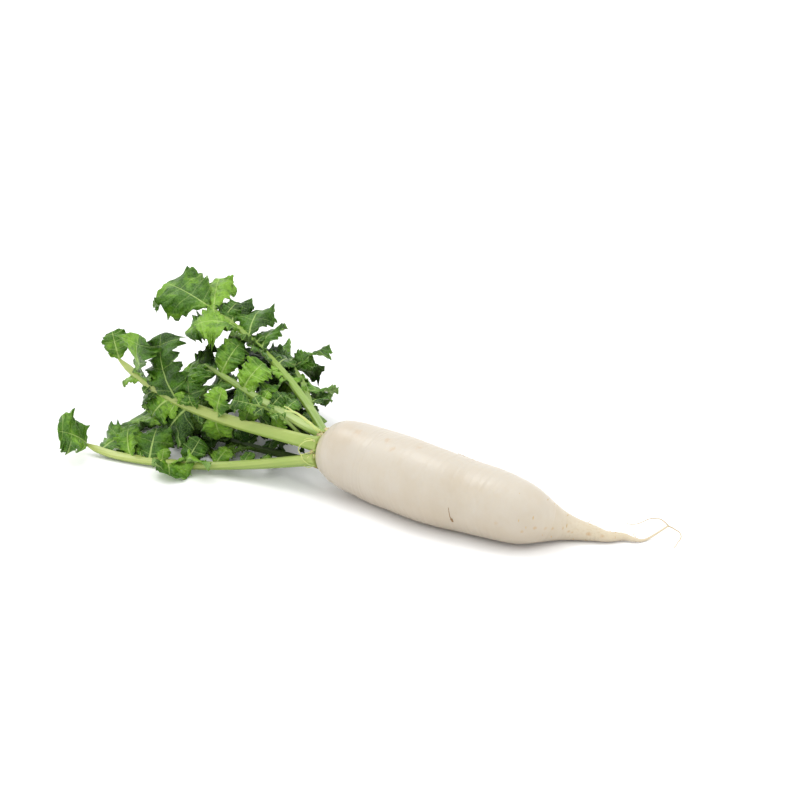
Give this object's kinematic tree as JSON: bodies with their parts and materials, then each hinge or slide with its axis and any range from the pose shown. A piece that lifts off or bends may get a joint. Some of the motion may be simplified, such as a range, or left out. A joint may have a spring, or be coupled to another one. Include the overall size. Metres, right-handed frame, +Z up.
{
  "type": "daikon radish",
  "caption": "Long white root lying on its side, with a thin curved tail, a short crown and lobed green leaves on pale stalks.",
  "frame": {"origin": "on the flat spot under the root's belly, on the surface that the radish lies on", "axes": "+Z up, +X along the root from the crown to the tail, leaves towards -X"},
  "size_m": [0.5337, 0.2257, 0.1312],
  "materials": {
    "root_skin": "satin, waxy",
    "crown_skin": "satin",
    "leaf": "satin"
  },
  "bodies": {
    "root": {"root": "root_skin", "crown": "crown_skin", "leaf_1": "leaf", "leaf_2": "leaf", "leaf_3": "leaf", "leaf_4": "leaf", "leaf_5": "leaf", "leaf_6": "leaf", "leaf_7": "leaf", "leaf_8": "leaf"}
  },
  "joints": []
}
